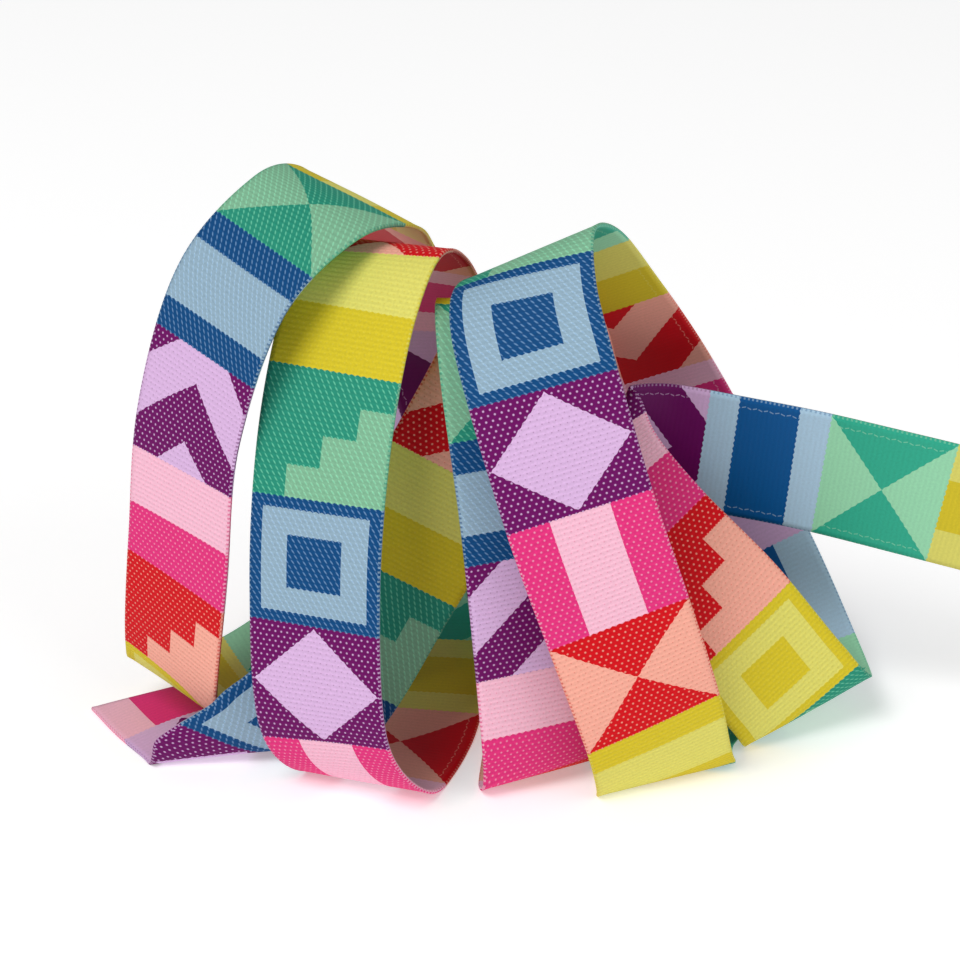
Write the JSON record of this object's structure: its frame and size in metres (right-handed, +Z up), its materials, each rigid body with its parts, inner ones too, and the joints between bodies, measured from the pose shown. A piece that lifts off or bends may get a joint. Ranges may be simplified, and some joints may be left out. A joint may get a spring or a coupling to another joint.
{
  "type": "looped ribbon",
  "caption": "Length of woven patterned ribbon standing in loose upright loops, with a flat start piece and a free tail.",
  "frame": {"origin": "centre of the bounding box, at the height of the table", "axes": "+Z up, +X along the row of loops towards the free tail, -Y towards the viewer"},
  "size_m": [0.144, 0.0844, 0.0911],
  "materials": {
    "ribbon": "woven, slightly glossy"
  },
  "bodies": {
    "root": {"ribbon": "ribbon"}
  },
  "joints": []
}
